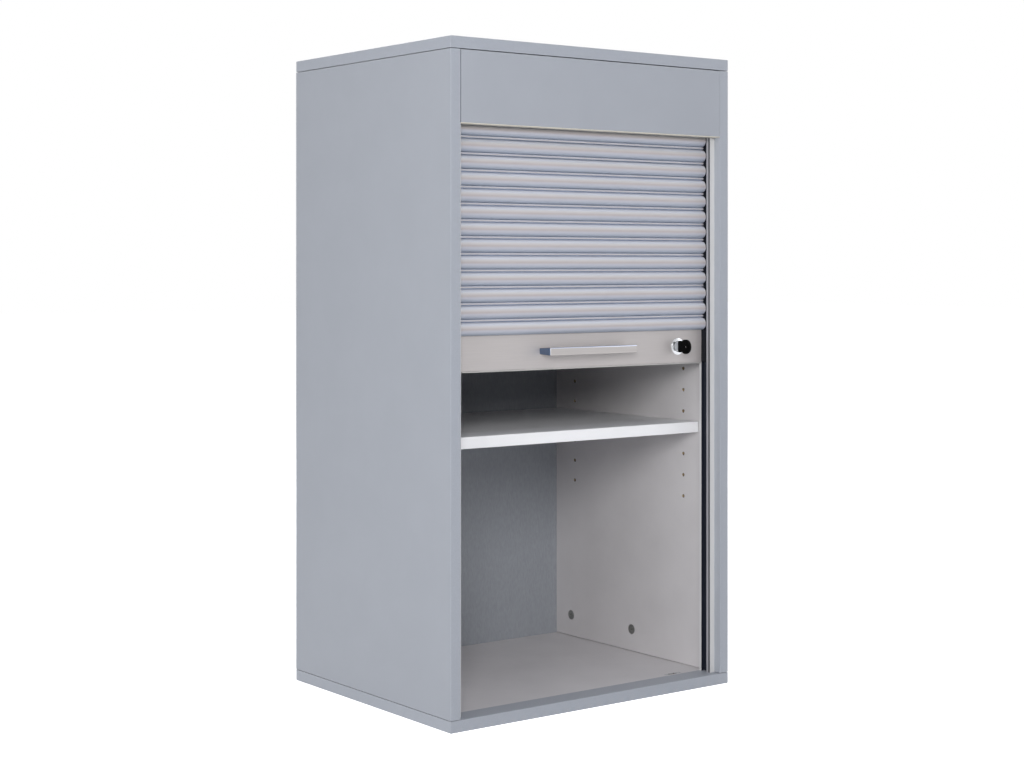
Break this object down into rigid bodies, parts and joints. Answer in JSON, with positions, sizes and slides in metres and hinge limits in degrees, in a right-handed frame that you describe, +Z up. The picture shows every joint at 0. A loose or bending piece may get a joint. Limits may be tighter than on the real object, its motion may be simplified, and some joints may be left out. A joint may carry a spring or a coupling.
{
  "type": "file cupboard",
  "caption": "Free-standing file cupboard with a roller shutter that slides up behind the fascia, a bar handle, a key lock and an adjustable shelf.",
  "frame": {"origin": "middle of the underside, where the cupboard stands on the floor", "axes": "+Z up; the front with the shutter looks along -Y; +X is to the right of someone facing it"},
  "size_m": [0.5, 0.4, 0.92],
  "materials": {
    "carcass_board": "melamine-faced chipboard, platinum grey, fine matt grain",
    "back_board": "lacquered hardboard, matt grey",
    "edging": "ABS edging, satin grey",
    "shelf_board": "melamine-faced chipboard, white",
    "shelf_edging": "ABS edging, satin white",
    "fitting_zinc": "zinc die casting, as cast",
    "fitting_steel": "steel, bright zinc plated",
    "dowel_beech": "beech, fluted and unfinished",
    "guide_plastic": "extruded PVC, satin light grey",
    "liner_plastic": "moulded polyamide, near black",
    "slat_plastic": "extruded PVC, silver lacquered",
    "rail_aluminium": "extruded aluminium, fine satin anodised",
    "handle_aluminium": "aluminium, satin anodised",
    "rail_sealing": "soft PVC strip, light grey",
    "lock_chrome": "polished chrome plate",
    "lock_brass": "machined brass, nickel flashed",
    "key_plastic": "moulded polyamide, black"
  },
  "bodies": {
    "carcass": {"side_panel_left": "carcass_board", "side_panel_right": "carcass_board", "top_panel": "carcass_board", "bottom_panel": "carcass_board", "back_panel": "back_board", "fascia": "carcass_board", "head_floor": "carcass_board", "edge_bands": "edging", "shelf": "shelf_board", "shelf_edge_band": "shelf_edging", "shelf_pins": "fitting_steel", "cam_locks": "fitting_zinc", "cam_bolts": "fitting_steel", "dowels": "dowel_beech", "guide_rail_left": "guide_plastic", "guide_rail_right": "guide_plastic", "track_liner_left": "liner_plastic", "track_liner_right": "liner_plastic", "guide_screws": "fitting_steel", "spiral_guide_left": "guide_plastic", "spiral_guide_right": "guide_plastic", "spiral_screws": "fitting_steel", "shutter_slats": "slat_plastic", "slat_end_caps": "liner_plastic", "shutter_roll": "slat_plastic", "roll_end_caps": "liner_plastic", "strike_plate": "fitting_steel", "strike_screws": "fitting_steel"},
    "shutter": {"bottom_rail": "rail_aluminium", "rail_end_left": "liner_plastic", "rail_end_right": "liner_plastic", "rail_seal": "rail_sealing", "pull_handle": "handle_aluminium", "handle_screws": "fitting_steel", "lock_housing": "lock_chrome", "lock_nut": "lock_brass", "bolt_guide": "liner_plastic"},
    "lock_barrel": {"lock_plug": "lock_brass", "lock_driver": "fitting_steel"},
    "deadbolt": {"lock_bolt": "fitting_steel"},
    "key": {"key_blade": "lock_chrome", "key_bow": "key_plastic"}
  },
  "joints": [
    {"name": "shutter_slide", "type": "slide", "parent": "carcass", "child": "shutter", "axis": [0, 0, 1], "range_m": [-0.4555, 0.282], "deforming": ["shutter_slats", "slat_end_caps"]},
    {"name": "lock_turn", "type": "hinge", "parent": "shutter", "child": "lock_barrel", "pos_m": [0.177, -0.1704, 0.498], "axis": [0, 1, 0], "range_deg": [0, 90]},
    {"name": "bolt_slide", "type": "slide", "parent": "shutter", "child": "deadbolt", "axis": [0, 0, -1], "range_m": [0, 0.00801]},
    {"name": "key_pull", "type": "slide", "parent": "lock_barrel", "child": "key", "axis": [0, -1, 0], "range_m": [0, 0.02]}
  ],
  "couplings": [
    {"joint": "bolt_slide", "follows": "lock_turn", "m_per_rad": 0.005095}
  ]
}
